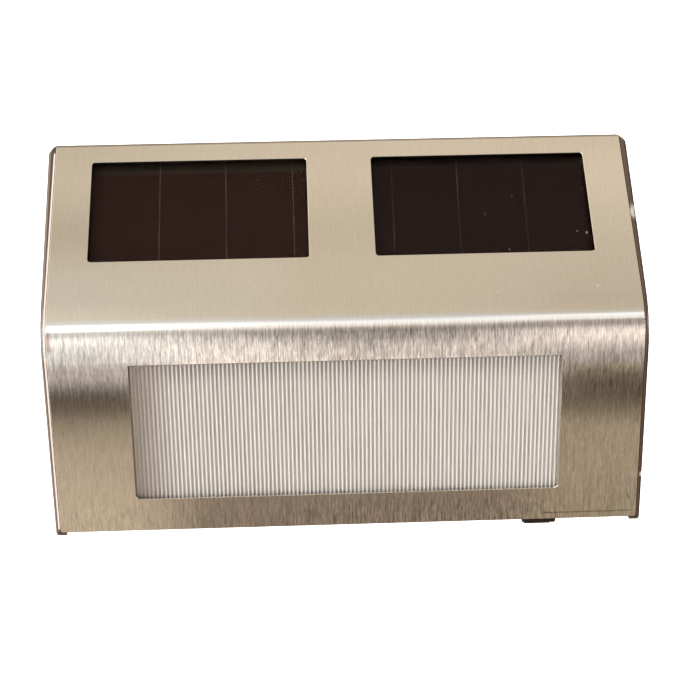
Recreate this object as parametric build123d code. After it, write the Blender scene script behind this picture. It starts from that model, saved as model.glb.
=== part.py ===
from build123d import *
import os
from math import sin, cos, tan, radians, sqrt

# Wall-hung solar fence light. Millimetres. +X right, +Y towards the wall, +Z up.
# The origin lies on the flat back face (the plane Y = 0), midway between the end
# cheeks and 43.3 mm below the top edge of the steel cover.

# ---- folded steel cover -------------------------------------------------
COVER_W = 139.3          # width of the steel sheet
SHEET = 0.8              # sheet thickness
SLOPE_RUN = 36.8         # run and rise of the 45 degree slope, to the sharp corner
FRONT_H = 50.15          # upright front, from the sharp corner to the bottom edge
TOP_GAP = 2.8            # top edge of the sheet stands this far off the wall
BEND_R = 18.0            # outer bend radius between slope and front
COVER_DX = 0.1           # middle of the sheet, as it sits in its housing
WINDOW_DX = -0.3         # middle of its windows
DEPTH = SLOPE_RUN + TOP_GAP
FRONT_Y = -DEPTH
COVER_TOP = 43.3
FOLD_Z = COVER_TOP - SLOPE_RUN
COVER_BOTTOM = FOLD_Z - FRONT_H

# windows: panels on the slope (x0, x1, s0, s1), s measured up the slope
PANEL_WIN = (7.9, 60.3, 18.95, 47.05)
PANEL_WIN_R = 0.8
LENS_WIN = (50.7, 8.15, 41.95)   # half width, depth below the sharp corner
LENS_WIN_R = 1.0

# ---- housing ------------------------------------------------------------
BACK_HALF_W = 71.5       # half width at the wall
FRONT_HALF_W = 70.8      # half width at the front, one degree of draft
CHEEK_IN = 68.2          # inner face of the end cheeks
CHEEK_R = 0.8            # rounding of the cheeks' outer edges
CHEEK_TOP_R = 2.0        # rounding of their top corners
SEAT = 0.87              # depth of the rebate the sheet lies in
WALL = 2.0               # back wall
BASE = 1.6               # bottom wall
TOP_Z = 42.95            # the housing stops just below the sheet's top edge
FOOT_Z = -44.35          # the cheeks stand lower than the sheet's bottom edge

# ---- keyholes -----------------------------------------------------------
KEY_X, KEY_Z = 40.0, 20.0
KEY_R = 4.0              # entry hole radius
KEY_SLOT = 4.4           # slot width
KEY_RISE = 7.0           # travel from entry to slot end
KEY_POCKET = 4.0         # pocket depth behind the wall

# ---- battery bay --------------------------------------------------------
BAY_Z = -17.0
CELL_R = 7.1
CELL_Y = -11.0
DOOR_X, DOOR_Z = 37.5, 10.0      # half sizes of the door
DOOR_SCREW_X = 34.0

# ---- switch -------------------------------------------------------------
SW_X, SW_Y = 46.7, -30.1
PIVOT_Z = -44.55
ROCK = 8.0               # tilt each side of level
ROCKER_W = 6.2

# ---- lens ribs ----------------------------------------------------------
RIB_PITCH = 0.985
RIB_W = 0.64
RIB_H = 0.3

Q = sqrt(0.5)
T0 = BEND_R * tan(radians(22.5))
ARC_Y = FRONT_Y + BEND_R
ARC_Z = FOLD_Z - T0

SLOPE = Plane(origin=(0, FRONT_Y, FOLD_Z), x_dir=(1, 0, 0), z_dir=(0, -Q, Q))
FRONT = Plane(origin=(0, FRONT_Y, FOLD_Z), x_dir=(1, 0, 0), z_dir=(0, -1, 0))


def gbox(x0, x1, y0, y1, z0, z1):
    return Pos((x0 + x1) / 2, (y0 + y1) / 2, (z0 + z1) / 2) * Box(
        x1 - x0, y1 - y0, z1 - z0
    )


def pbox(plane, x0, x1, y0, y1, o0, o1, r=0.0):
    """A box on a panel plane; o runs inwards from the outer surface."""
    w, h = x1 - x0, y1 - y0
    sk = RectangleRounded(w, h, r) if r else Rectangle(w, h)
    return plane * (Pos((x0 + x1) / 2, (y0 + y1) / 2, -o1) * extrude(sk, o1 - o0))


def fbox(x0, x1, d0, d1, o0, o1, r=0.0):
    return pbox(FRONT, x0, x1, -d1, -d0, o0, o1, r)


def sbox(x0, x1, s0, s1, o0, o1, r=0.0):
    return pbox(SLOPE, x0, x1, s0, s1, o0, o1, r)


def ycyl(x, z, r, y0, y1):
    """A cylinder along Y."""
    return Pos(x, (y0 + y1) / 2, z) * Rot(90, 0, 0) * Cylinder(r, abs(y1 - y0))


def xcyl(y, z, r, x0, x1):
    return Pos((x0 + x1) / 2, y, z) * Rot(0, 90, 0) * Cylinder(r, abs(x1 - x0))


def sp(s, o, x=0.0):
    return (x, FRONT_Y + (s + o) * Q, FOLD_Z + (s - o) * Q)


def fp(d, o, x=0.0):
    return (x, FRONT_Y + o, FOLD_Z - d)


def mid(o, x=0.0):
    r = BEND_R - o
    a = radians(157.5)
    return (x, ARC_Y + r * cos(a), ARC_Z + r * sin(a))


def prism(edges, x0, x1):
    face = make_face(edges)
    solid = extrude(face, x1 - x0, dir=(1, 0, 0))
    return solid


def band(o1, o2, s1, d1, x0, x1):
    """Sheet between two offsets, from s1 up the slope round the bend to d1 down the front."""
    e = [
        Line(sp(s1, o1, x0), sp(T0, o1, x0)),
        ThreePointArc(sp(T0, o1, x0), mid(o1, x0), fp(T0, o1, x0)),
        Line(fp(T0, o1, x0), fp(d1, o1, x0)),
        Line(fp(d1, o1, x0), fp(d1, o2, x0)),
        Line(fp(d1, o2, x0), fp(T0, o2, x0)),
        ThreePointArc(fp(T0, o2, x0), mid(o2, x0), sp(T0, o2, x0)),
        Line(sp(T0, o2, x0), sp(s1, o2, x0)),
        Line(sp(s1, o2, x0), sp(s1, o1, x0)),
    ]
    return prism(e, x0, x1)


def region(o, x0, x1, zt, zb, yb=0.0):
    """Everything behind one offset of the profile, up to the plane yb."""
    st = (zt - FOLD_Z) / Q + o
    db = FOLD_Z - zb
    e = [
        Line(sp(st, o, x0), sp(T0, o, x0)),
        ThreePointArc(sp(T0, o, x0), mid(o, x0), fp(T0, o, x0)),
        Line(fp(T0, o, x0), fp(db, o, x0)),
        Line(fp(db, o, x0), (x0, yb, zb)),
        Line((x0, yb, zb), (x0, yb, zt)),
        Line((x0, yb, zt), sp(st, o, x0)),
    ]
    return prism(e, x0, x1)


def stadium_y(x, z0, z1, r, y0, y1):
    """Upright slot shape along Y between two centres."""
    return (
        ycyl(x, z0, r, y0, y1)
        + ycyl(x, z1, r, y0, y1)
        + gbox(x - r, x + r, y0, y1, z0, z1)
    )


parts = {}


# ---- front cover --------------------------------------------------------
def make_front_cover():
    hw = COVER_W / 2
    s_top = SLOPE_RUN / Q
    c = band(0, SHEET, s_top, FRONT_H, -hw, hw)
    c = Pos(COVER_DX - WINDOW_DX, 0, 0) * c
    x0, x1, s0, s1 = PANEL_WIN
    c -= sbox(x0, x1, s0, s1, -1, 3, PANEL_WIN_R)
    c -= sbox(-x1, -x0, s0, s1, -1, 3, PANEL_WIN_R)
    w, d0, d1 = LENS_WIN
    sk = Rectangle(2 * w, d1 - d0)
    low = sk.vertices().sort_by(Axis.Y)[:2]
    sk = fillet(low, LENS_WIN_R)
    high = sk.vertices().sort_by(Axis.Y)[-2:]
    sk = fillet(high, 0.35)
    c -= FRONT * (Pos(0, -(d0 + d1) / 2, -3) * extrude(sk, 4))
    return Pos(WINDOW_DX, 0, 0) * c


parts["front_cover"] = make_front_cover()


# ---- carrier geometry that other pieces refer to ------------------------
CAR0, CAR1 = 1.2, 2.8                     # carrier wall, offsets
PANEL = (6.0, 62.2, 17.4, 48.6)           # module outline on the slope
LENS = (53.0, 6.0, 44.2)                  # lens plate: half width, top, bottom
CAR_TOP_S, CAR_BOT_D = 50.0, 48.1
SCREW_LONG = [(64.0, 9.0), (-64.0, 9.0), (64.0, -37.5), (-64.0, -37.5)]
SCREW_TOP = (0.0, 31.0)


# bonding strips between sheet and carrier, offsets 0.8 to 1.2
def make_tape():
    o0, o1 = SHEET, CAR0
    strips = [sbox(-5.3, 5.3, 9.0, 49.4, o0, o1)]
    for k in (1, -1):
        a, b = sorted((k * 63.0, k * 67.2))
        strips.append(sbox(a, b, 9.0, 49.4, o0, o1))
        a, b = sorted((k * 56.0, k * 67.2))
        strips.append(fbox(a, b, 9.5, 47.6, o0, o1))
    strips.append(fbox(-54.0, 54.0, 45.2, 47.6, o0, o1))
    return Compound(children=[s for s in strips])


parts["cover_tape"] = make_tape()


# ---- solar modules ------------------------------------------------------
GLASS0, GLASS1, FILM1 = 1.2, 2.3, 2.6


def make_panels():
    x0, x1, s0, s1 = PANEL
    wx0, wx1, ws0, ws1 = PANEL_WIN
    glass = sbox(x0, x1, s0, s1, GLASS0, GLASS1)
    glass = chamfer(glass.edges().group_by(SortBy.LENGTH)[0], 0.15)
    film = sbox(x0 + 0.3, x1 - 0.3, s0 + 0.3, s1 - 0.3, GLASS1, FILM1)
    ring = sbox(x0, x1, s0, s1, SHEET, GLASS0, 1.0) - sbox(
        wx0 - 0.55, wx1 + 0.55, ws0 - 0.55, ws1 + 0.55, SHEET - 1, GLASS0 + 1, 1.0
    )
    parts["panel_glass_right"] = glass
    parts["panel_glass_left"] = mirror(glass, Plane.YZ)
    parts["panel_cells_right"] = film
    parts["panel_cells_left"] = mirror(film, Plane.YZ)
    parts["panel_gasket_right"] = ring
    parts["panel_gasket_left"] = mirror(ring, Plane.YZ)


make_panels()


# ---- lens ---------------------------------------------------------------
LENS_BACK = 3.0


def make_lens():
    w, d0, d1 = LENS
    win_w, wd0, wd1 = LENS_WIN
    plate = fbox(-w, w, d0, d1, CAR0, LENS_BACK, 1.2)
    rw, rd0, rd1 = win_w + 0.7, wd0 - 0.55, wd1 + 0.6
    n = int(2 * rw / RIB_PITCH)
    first = -(n - 1) / 2 * RIB_PITCH
    base_o, crest_o = CAR0 + RIB_H, CAR0
    z = FOLD_Z - rd1
    rw = -first + RIB_PITCH / 2
    plate -= fbox(-rw, rw, rd0, rd1, CAR0 - 1, base_o + 0.2)
    edges = []
    y_base = FRONT_Y + base_o
    y_top = FRONT_Y + crest_o
    y_back = FRONT_Y + base_o + 0.2
    here = (-rw, y_base, z)
    for k in range(n):
        c = first + k * RIB_PITCH
        a = (c - RIB_W / 2, y_base, z)
        b = (c + RIB_W / 2, y_base, z)
        edges.append(Line(here, a))
        edges.append(ThreePointArc(a, (c, y_top, z), b))
        here = b
    edges.append(Line(here, (rw, y_base, z)))
    edges.append(Line((rw, y_base, z), (rw, y_back, z)))
    edges.append(Line((rw, y_back, z), (-rw, y_back, z)))
    edges.append(Line((-rw, y_back, z), (-rw, y_base, z)))
    ribs = extrude(make_face(edges), rd1 - rd0, dir=(0, 0, 1))
    return plate + ribs


parts["lens"] = make_lens()


def make_lens_gasket():
    w, d0, d1 = LENS
    win_w, wd0, wd1 = LENS_WIN
    return fbox(-w, w, 7.5, d1, SHEET, CAR0, 0.3) - fbox(
        -win_w - 0.75, win_w + 0.75, wd0 - 0.1, wd1 + 0.65, 0, 3, 0.9
    )


parts["lens_gasket"] = make_lens_gasket()


# ---- inner carrier ------------------------------------------------------
def make_carrier():
    c = band(CAR0, CAR1, CAR_TOP_S, CAR_BOT_D, -67.8, 67.8)
    x0, x1, s0, s1 = PANEL
    for k in (1, -1):
        a, b = sorted((k * (x0 - 1.4), k * (x1 + 1.4)))
        c += sbox(a, b, s0 - 1.4, s1 + 1.3, CAR0, 3.9)
    c += fbox(-55.2, 55.2, 4.6, 46.0, CAR0 + 0.9, 4.4)
    # posts for the housing screws
    keep = region(1.6, -70, 70, 42, -42, 0)
    for x, z in SCREW_LONG:
        c += ycyl(x, z, 3.2, -20.05, FRONT_Y + 1) & keep
    x, z = SCREW_TOP
    c += ycyl(x, z, 3.2, -6.55, -16) & keep
    # clear of the back wall at the top
    c -= gbox(-70, 70, -2.15, 1, 20, 60)
    # posts for the reflector
    for x in (-58.0, 58.0):
        for z in (-6.0, -31.0):
            c += ycyl(x, z, 2.4, -31.6, FRONT_Y + 2.0)
    # panel pockets and the openings behind them
    for k in (1, -1):
        a, b = sorted((k * (x0 - 0.2), k * (x1 + 0.2)))
        c -= sbox(a, b, s0 - 0.2, s1 + 0.2, 0, FILM1)
        a, b = sorted((k * (x0 + 4), k * (x1 - 4)))
        c -= sbox(a, b, s0 + 3.6, s1 - 3.6, 0, 6, 2)
    # lens pocket and light opening
    w, d0, d1 = LENS
    c -= fbox(-w - 0.15, w + 0.15, d0 - 0.15, d1 + 0.15, 0, LENS_BACK)
    c -= fbox(-51.6, 51.6, 7.3, 43.0, 0, 6, 1)
    # pilot holes
    for x, z in SCREW_LONG:
        c -= ycyl(x, z, 1.32, -19, -27)
    x, z = SCREW_TOP
    c -= ycyl(x, z, 1.32, -6, -11.3)
    for x in (-58.0, 58.0):
        for z in (-6.0, -31.0):
            c -= ycyl(x, z, 1.02, -31, -36.4)
    return c


parts["inner_carrier"] = make_carrier()


# ---- reflector ----------------------------------------------------------
REF_FRONT, REF_BACK = -35.2, -23.0
REF_TOP = -0.2                   # its level top wall
LAMP_X = (-30.0, 0.0, 30.0)
LAMP_Y = -29.5
LB0, LB1 = 4.6, 6.2              # the lamp board lies above the reflector
LB_SCREW_X = 38.0


def zcyl(x, y, r, z0, z1):
    return Pos(x, y, (z0 + z1) / 2) * Cylinder(r, abs(z1 - z0))


def zloft(x, z0, z1, y, xb, zb0, zb1, yb):
    f = Plane(origin=(0, y, (z0 + z1) / 2), x_dir=(1, 0, 0), z_dir=(0, 1, 0)) * (
        RectangleRounded(2 * x, z1 - z0, 1.5)
    )
    b = Plane(origin=(0, yb, (zb0 + zb1) / 2), x_dir=(1, 0, 0), z_dir=(0, 1, 0)) * (
        RectangleRounded(2 * xb, zb1 - zb0, 1.5)
    )
    return loft([f.face(), b.face()])


def make_reflector():
    t = REF_TOP
    outer = zloft(52.6, -36.7, t, REF_FRONT, 46.0, -31.4, t, REF_BACK)
    inner = zloft(51.4, -35.6, t - 1.2, REF_FRONT - 0.01, 44.8, -30.2, t - 1.2, REF_BACK - 1.2)
    r = outer
    # ears for the four screws
    for k in (1, -1):
        for z in (-6.0, -31.0):
            a, b = sorted((k * 48.0, k * 58.0))
            r += gbox(a, b, -31.58, -30.2, z - 2.6, z + 2.6)
            r += ycyl(k * 58.0, z, 2.6, -31.58, -30.2)
    # pegs that stand the lamp board off
    for x in (-LB_SCREW_X, LB_SCREW_X):
        r += zcyl(x, LAMP_Y, 2.4, t - 1.0, LB0 - 0.02)
    r -= inner
    # the lamps reach in through the top
    for x in LAMP_X:
        r -= zcyl(x, LAMP_Y, 2.8, t - 3, t + 1)
    for k in (1, -1):
        for z in (-6.0, -31.0):
            r -= ycyl(k * 58.0, z, 1.2, -33, -29)
    for x in (-LB_SCREW_X, LB_SCREW_X):
        r -= zcyl(x, LAMP_Y, 0.92, t + 0.6, LB0 + 1)
    return r


parts["reflector"] = make_reflector()


def pan_screw(x, z, seat, head_r, head_h, r, length, out):
    """Pan-head screw on a Y axis; out is +1 when its head looks to +Y."""
    s = ycyl(x, z, head_r, seat, seat + out * head_h)
    rim = s.edges().filter_by(GeomType.CIRCLE).sort_by(Axis.Y)[-1 if out > 0 else 0]
    s = fillet(rim, head_h * 0.45)
    s += ycyl(x, z, r, seat, seat - out * length)
    tip = s.edges().filter_by(GeomType.CIRCLE).sort_by(Axis.Y)[0 if out > 0 else -1]
    s = chamfer(tip, r * 0.35)
    # cross recess
    y0, y1 = sorted((seat + out * head_h + out * 0.1, seat + out * head_h * 0.45))
    a, b = head_r * 0.62, head_r * 0.14
    s -= gbox(x - a, x + a, y0, y1, z - b, z + b)
    s -= gbox(x - b, x + b, y0, y1, z - a, z + a)
    return s


parts["reflector_screws"] = Compound(
    children=[
        pan_screw(x, z, -30.2, 1.9, 1.1, 1.0, 5.6, 1)
        for x in (-58.0, 58.0)
        for z in (-6.0, -31.0)
    ]
)

# ---- lamp board ---------------------------------------------------------
def make_lamp_board():
    b = gbox(-42, 42, -34.0, -24.0, LB0, LB1)
    for x in (-LB_SCREW_X, LB_SCREW_X):
        b -= zcyl(x, LAMP_Y, 1.15, LB0 - 1, LB1 + 1)
    return b


parts["lamp_board"] = make_lamp_board()


def make_lamp(x):
    """A 5 mm lamp hanging from the board into the reflector."""
    r = 2.5
    s = zcyl(x, LAMP_Y, 2.9, LB0 - 1.0, LB0)
    s += zcyl(x, LAMP_Y, r, LB0 - 5.0, LB0 - 1.0)
    s += Pos(x, LAMP_Y, LB0 - 5.0) * Sphere(r)
    s -= gbox(x + 2.5, x + 4, LAMP_Y - 4, LAMP_Y + 4, LB0 - 1.2, LB0 + 1)
    return s


parts["lamp_leds"] = Compound(children=[make_lamp(x) for x in LAMP_X])
parts["lamp_board_screws"] = Compound(
    children=[
        Pos(x, LAMP_Y, LB1) * Rot(90, 0, 0) * pan_screw(0, 0, 0, 1.8, 1.0, 0.9, 4.8, 1)
        for x in (-LB_SCREW_X, LB_SCREW_X)
    ]
)


# ---- rear housing -------------------------------------------------------
BAY = (-28.6, 26.85, BAY_Z - 8.0, BAY_Z + 8.0)
BOARD0, BOARD1 = -9.6, -8.0
BOARD_BOSS = [(-21.0, 12.0), (21.0, 2.0)]


def make_housing():
    h = region(0, -73, 73, TOP_Z, FOOT_Z)
    taper = extrude(
        make_face(
            Polyline(
                (-BACK_HALF_W, 0.0, -60),
                (BACK_HALF_W, 0.0, -60),
                (FRONT_HALF_W, FRONT_Y - 0.01, -60),
                (-FRONT_HALF_W, FRONT_Y - 0.01, -60),
                close=True,
            )
        ),
        120,
        dir=(0, 0, 1),
    )
    h &= taper
    # round the outer edges of both cheeks, but not where they meet the wall
    for k in (1, -1):
        face = h.faces().sort_by(Axis.X)[-1 if k > 0 else 0]
        rim = [e for e in face.edges() if abs(e.center().Y) > 0.2]
        h = fillet(rim, CHEEK_R)
    # and their top corners, seen from the front
    xc, zc = BACK_HALF_W - CHEEK_TOP_R, TOP_Z - CHEEK_TOP_R
    for k in (1, -1):
        a, b = sorted((k * xc, k * 80))
        h -= gbox(a, b, -50, 2, zc, 60) - ycyl(k * xc, zc, CHEEK_TOP_R, -51, 3)
    # rebate for the sheet
    h -= band(-3.0, SEAT, SLOPE_RUN / Q + 0.08, FRONT_H + 0.07,
              -COVER_W / 2 + COVER_DX - 0.1, COVER_W / 2 + COVER_DX + 0.1)
    # hollow inside
    h -= gbox(-CHEEK_IN, CHEEK_IN, FRONT_Y - 3, -WALL, COVER_BOTTOM + BASE, TOP_Z - 0.9)
    # the base is level with the sheet's bottom edge; the cheeks stand a little lower
    h -= gbox(-CHEEK_IN, CHEEK_IN, FRONT_Y - 3, 3, -60, COVER_BOTTOM)

    # battery bay
    bx0, bx1, bz0, bz1 = BAY
    h += gbox(bx0 - 1.6, bx1 + 3.6, -19.5, -1, bz0 - 1.3, bz1 + 1.3)
    h += gbox(-DOOR_X - 2.5, DOOR_X + 2.5, -4.6, -1, BAY_Z - 12.5, BAY_Z + 12.5)
    for x in (-DOOR_SCREW_X, DOOR_SCREW_X):
        h += ycyl(x, BAY_Z, 3.1, -12, -4)
    h -= gbox(bx0, bx1, -18.2, 1, bz0, bz1)
    h -= gbox(-DOOR_X - 0.3, DOOR_X + 0.3, -2.6, 1, BAY_Z - DOOR_Z - 0.3, BAY_Z + DOOR_Z + 0.3)
    for x in (-DOOR_SCREW_X, DOOR_SCREW_X):
        h -= ycyl(x, BAY_Z, 1.15, -10.5, 0)
    # slots for the solder tabs of the two battery contacts
    h -= gbox(-28.6, -28.24, -13.0, -9.0, bz1 - 0.1, bz1 + 2)
    h -= gbox(26.49, 26.85, -13.0, -9.0, bz1 - 0.1, bz1 + 2)

    # bosses for the screws that hold the carrier
    for x, z in SCREW_LONG:
        h += ycyl(x, z, 3.8, -20.0, -1)
        h -= ycyl(x, z, 2.9, -16.0, 1)
        h -= ycyl(x, z, 1.5, -21, -15)
    x, z = SCREW_TOP
    h += ycyl(x, z, 3.7, -6.5, -1)
    h -= ycyl(x, z, 2.9, -3.0, 1)
    h -= ycyl(x, z, 1.5, -7, -2)

    # keyholes with closed pockets
    for x in (-KEY_X, KEY_X):
        p = KEY_R + 0.7
        h += stadium_y(x, KEY_Z, KEY_Z + KEY_RISE, p + 1.2, -WALL - KEY_POCKET - 1.2, -1)
        h -= stadium_y(x, KEY_Z, KEY_Z + KEY_RISE, p, -WALL - KEY_POCKET, -WALL)
        h -= ycyl(x, KEY_Z, KEY_R, -WALL - 1, 1)
        h -= stadium_y(x, KEY_Z, KEY_Z + KEY_RISE, KEY_SLOT / 2, -WALL - 1, 1)

    # control board bosses
    for x, z in BOARD_BOSS:
        h += ycyl(x, z, 2.5, BOARD1, -1)
        h -= ycyl(x, z, 1.0, BOARD1 - 1, -3.5)

    # stiffening ribs from the base to the back wall
    for x in (-50.0, -20.0, 20.0):
        rib = extrude(
            make_face(
                Polyline(
                    (x, -1.0, COVER_BOTTOM + 1),
                    (x, -20.0, COVER_BOTTOM + 1),
                    (x, -20.0, COVER_BOTTOM + BASE + 0.8),
                    (x, -1.0, COVER_BOTTOM + BASE + 7.0),
                    close=True,
                )
            ),
            1.4,
            dir=(1, 0, 0),
        )
        h += rib

    # cut-out for the switch
    h -= gbox(SW_X - 4.0, SW_X + 4.0, SW_Y - 4.9, SW_Y + 4.9, -50, -40)
    return h


parts["rear_housing"] = make_housing()

parts["housing_screws"] = Compound(
    children=[pan_screw(x, z, -16.0, 2.6, 1.7, 1.3, 8.0, 1) for x, z in SCREW_LONG]
    + [pan_screw(*SCREW_TOP, -3.0, 2.6, 1.7, 1.3, 8.0, 1)]
)


# ---- battery ------------------------------------------------------------
def make_cell():
    c = xcyl(CELL_Y, BAY_Z, CELL_R, -24.0, 25.5)
    c = fillet(c.edges().filter_by(GeomType.CIRCLE), 0.5)
    c += xcyl(CELL_Y, BAY_Z, 2.75, 25.0, 26.5)
    c -= xcyl(CELL_Y, BAY_Z, 4.6, 25.3, 26) - xcyl(CELL_Y, BAY_Z, 2.75, 25, 27)
    return c


parts["battery_cell"] = make_cell()


def make_battery_spring():
    """Leaf spring against the cell's flat end, folded from 0.3 mm strip."""
    t = 0.3
    plate = gbox(-28.58, -28.28, -16.5, -5.5, BAY_Z - 5, BAY_Z + 7.9)
    tab = gbox(-28.58, -28.28, -12.9, -9.1, BAY_Z + 7.0, BAY_Z + 10.6)
    z0 = BAY_Z - 2.5
    pts = [(-28.4, -16.2), (-26.2, -15.2), (-24.05, -11.6), (-24.05, -10.4), (-26.2, -6.8), (-28.4, -5.8)]
    out = [(x, y, z0) for x, y in pts]
    back = [(-28.4, -16.2 + 0.36), (-26.45, -14.95), (-24.35, -11.45), (-24.35, -10.55), (-26.45, -7.05), (-28.4, -6.16)]
    inn = [(x, y, z0) for x, y in back[::-1]]
    leaf = extrude(make_face(Polyline(*out, *inn, close=True)), 5, dir=(0, 0, 1))
    return plate + tab + leaf


def make_battery_contact():
    plate = gbox(26.51, 26.84, -16.5, -5.5, BAY_Z - 6, BAY_Z + 7.9)
    tab = gbox(26.51, 26.84, -12.9, -9.1, BAY_Z + 7.0, BAY_Z + 10.6)
    return plate + tab


parts["battery_spring"] = make_battery_spring()
parts["battery_contact"] = make_battery_contact()


def make_door():
    d = gbox(-DOOR_X, DOOR_X, -2.1, -0.3, BAY_Z - DOOR_Z, BAY_Z + DOOR_Z)
    d = fillet(d.edges().filter_by(Axis.Y), 1.0)
    d = chamfer(d.faces().sort_by(Axis.Y)[-1].edges(), 0.25)
    for x in (-DOOR_SCREW_X, DOOR_SCREW_X):
        d += ycyl(x, BAY_Z, 3.0, -2.58, -1.5)
        d -= ycyl(x, BAY_Z, 2.6, -1.7, 1)
        d -= ycyl(x, BAY_Z, 1.3, -3, -1)
    # shallow finger grip, three grooves
    for k in (-1, 0, 1):
        d -= gbox(-9, 9, -0.7, 0, BAY_Z + 4.2 + k * 1.6 - 0.4, BAY_Z + 4.2 + k * 1.6 + 0.4)
    # inner rib that keeps the cell from rattling
    d += gbox(-12, 12, -3.4, -2.0, BAY_Z - 0.6, BAY_Z + 0.6)
    return d


parts["battery_door"] = make_door()
parts["battery_door_seal"] = pbox(
    Plane(origin=(0, -2.1, BAY_Z), x_dir=(1, 0, 0), z_dir=(0, 1, 0)),
    -30.4, 30.4, -9.7, 9.7, 0, 0.48, 1.5,
) - gbox(-29.0, 29.0, -4, 0, BAY_Z - 8.3, BAY_Z + 8.3)
parts["battery_door_screws"] = Compound(
    children=[
        pan_screw(x, BAY_Z, -1.7, 2.3, 1.3, 1.1, 7.5, 1)
        for x in (-DOOR_SCREW_X, DOOR_SCREW_X)
    ]
)


# ---- control board ------------------------------------------------------
def make_board():
    b = gbox(-25, 25, BOARD0, BOARD1, -2, 16)
    for x, z in BOARD_BOSS:
        b -= ycyl(x, z, 1.2, BOARD0 - 1, BOARD1 + 1)
    return b


parts["control_board"] = make_board()
parts["control_board_screws"] = Compound(
    children=[pan_screw(x, z, BOARD0, 1.9, 1.1, 0.98, 5.4, -1) for x, z in BOARD_BOSS]
)


def make_chip():
    c = gbox(-7, -2, BOARD0 - 1.55, BOARD0 - 0.1, 5.0, 9.0)
    for k in range(4):
        x = -6.4 + k * 1.27
        for z0, z1 in ((9.0, 10.0), (4.0, 5.0)):
            c += gbox(x, x + 0.42, BOARD0 - 0.7, BOARD0 - 0.5, min(z0, z1) - 0.05, max(z0, z1) + 0.05)
            zz = 10.0 if z0 == 9.0 else 4.0
            c += gbox(x, x + 0.42, BOARD0 - 0.7, BOARD0, zz - 0.15, zz + 0.15)
    return c


def make_inductor():
    c = ycyl(7, 7, 3.2, BOARD0, BOARD0 - 1.0) + ycyl(7, 7, 2.2, BOARD0 - 0.5, BOARD0 - 5.5)
    c += ycyl(7, 7, 3.2, BOARD0 - 5.0, BOARD0 - 6.0)
    c += ycyl(7, 7, 2.9, BOARD0 - 1.0, BOARD0 - 5.0)
    return c


def make_capacitor():
    c = ycyl(-14, 3.5, 2.5, BOARD0, BOARD0 - 7.0)
    c = fillet(c.edges().filter_by(GeomType.CIRCLE).sort_by(Axis.Y)[0], 0.4)
    return c


parts["control_chip"] = make_chip()
parts["control_inductor"] = make_inductor()
parts["control_capacitor"] = make_capacitor()


# ---- switch -------------------------------------------------------------
def make_switch_body():
    top, low = COVER_BOTTOM, COVER_BOTTOM - 2.4
    a = Plane(origin=(SW_X, SW_Y, top), z_dir=(0, 0, -1), x_dir=(1, 0, 0)) * RectangleRounded(8.6, 13.4, 0.7)
    b = Plane(origin=(SW_X, SW_Y, low), z_dir=(0, 0, -1), x_dir=(1, 0, 0)) * RectangleRounded(8.2, 13.0, 0.7)
    s = loft([a.face(), b.face()])
    s += gbox(SW_X - 3.9, SW_X + 3.9, SW_Y - 4.8, SW_Y + 4.8, top - 0.5, -37.9)
    # snap lugs above the base
    for k in (1, -1):
        y0, y1 = sorted((SW_Y + k * 4.8, SW_Y + k * 5.15))
        s += gbox(SW_X - 1.6, SW_X + 1.6, y0, y1, top + BASE + 0.05, top + BASE + 1.1)
    s -= gbox(SW_X - 3.25, SW_X + 3.25, SW_Y - 4.5, SW_Y + 4.5, low - 1, top)
    s -= gbox(SW_X - 3.25, SW_X + 3.25, SW_Y - 4.1, SW_Y + 4.1, low - 1, -38.9)
    s -= xcyl(SW_Y, PIVOT_Z, 0.85, SW_X - 3.7, SW_X + 3.7)
    for x in (45.0, 48.4):
        s -= gbox(x - 0.4, x + 0.4, SW_Y + 3, SW_Y + 6, -40.6, -39.4)
    return s


parts["switch_body"] = make_switch_body()


def make_rocker():
    w = ROCKER_W / 2
    pts = [(-4.0, -2.85), (-1.3, -2.1), (1.3, -2.1), (4.0, -2.85), (3.0, 1.4), (-3.0, 1.4)]
    face = make_face(Polyline(*[(-w, y, z) for y, z in pts], close=True))
    r = extrude(face, 2 * w, dir=(1, 0, 0))
    r = fillet(r.edges().filter_by(Axis.X).sort_by(Axis.Z)[:4], 0.25)
    r += Rot(0, 90, 0) * Cylinder(0.8, 7.3)
    return Pos(SW_X, SW_Y, PIVOT_Z) * Rot(ROCK, 0, 0) * r


parts["switch_rocker"] = make_rocker()
parts["switch_contact"] = (
    Pos(SW_X, SW_Y, PIVOT_Z)
    * Rot(ROCK, 0, 0)
    * (Pos(0, 0, 1.55) * Box(3.6, 5.2, 0.3) + Pos(0, 0, 1.85) * Box(3.6, 1.2, 0.3))
)
parts["switch_terminals"] = Compound(
    children=[
        gbox(x - 0.4, x + 0.4, SW_Y + 3.4, SW_Y + 7.6, -40.6, -39.4) for x in (45.0, 48.4)
    ]
)

# ---- leads --------------------------------------------------------------
LEAD_R = 0.6


def lead(pts):
    pts = [Vector(*p) for p in pts]
    radii = []
    for a, b, c in zip(pts, pts[1:], pts[2:]):
        run = min((b - a).length, (c - b).length)
        turn = (b - a).get_angle(c - b)
        radii.append(0.45 * run / tan(radians(turn / 2)))
    path = FilletPolyline(*pts, radius=radii)
    d = (pts[1] - pts[0]).normalized()
    section = Plane(origin=pts[0], z_dir=d) * Circle(LEAD_R)
    tube = sweep(section, path=path)
    want = 3.14159265 * LEAD_R**2 * path.length
    print("lead radii", [round(r, 1) for r in radii], "volume ratio", round(tube.volume / want, 4))
    return tube


def y_at_board():
    return BOARD0 - 0.02


def panel_lead(x, k, drop):
    a = sp(24, FILM1 + 0.02, x)
    b = sp(24, FILM1 + 6.0, x)
    return lead([a, b, (x, -15.5, drop), (x, y_at_board(), drop)])


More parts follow.
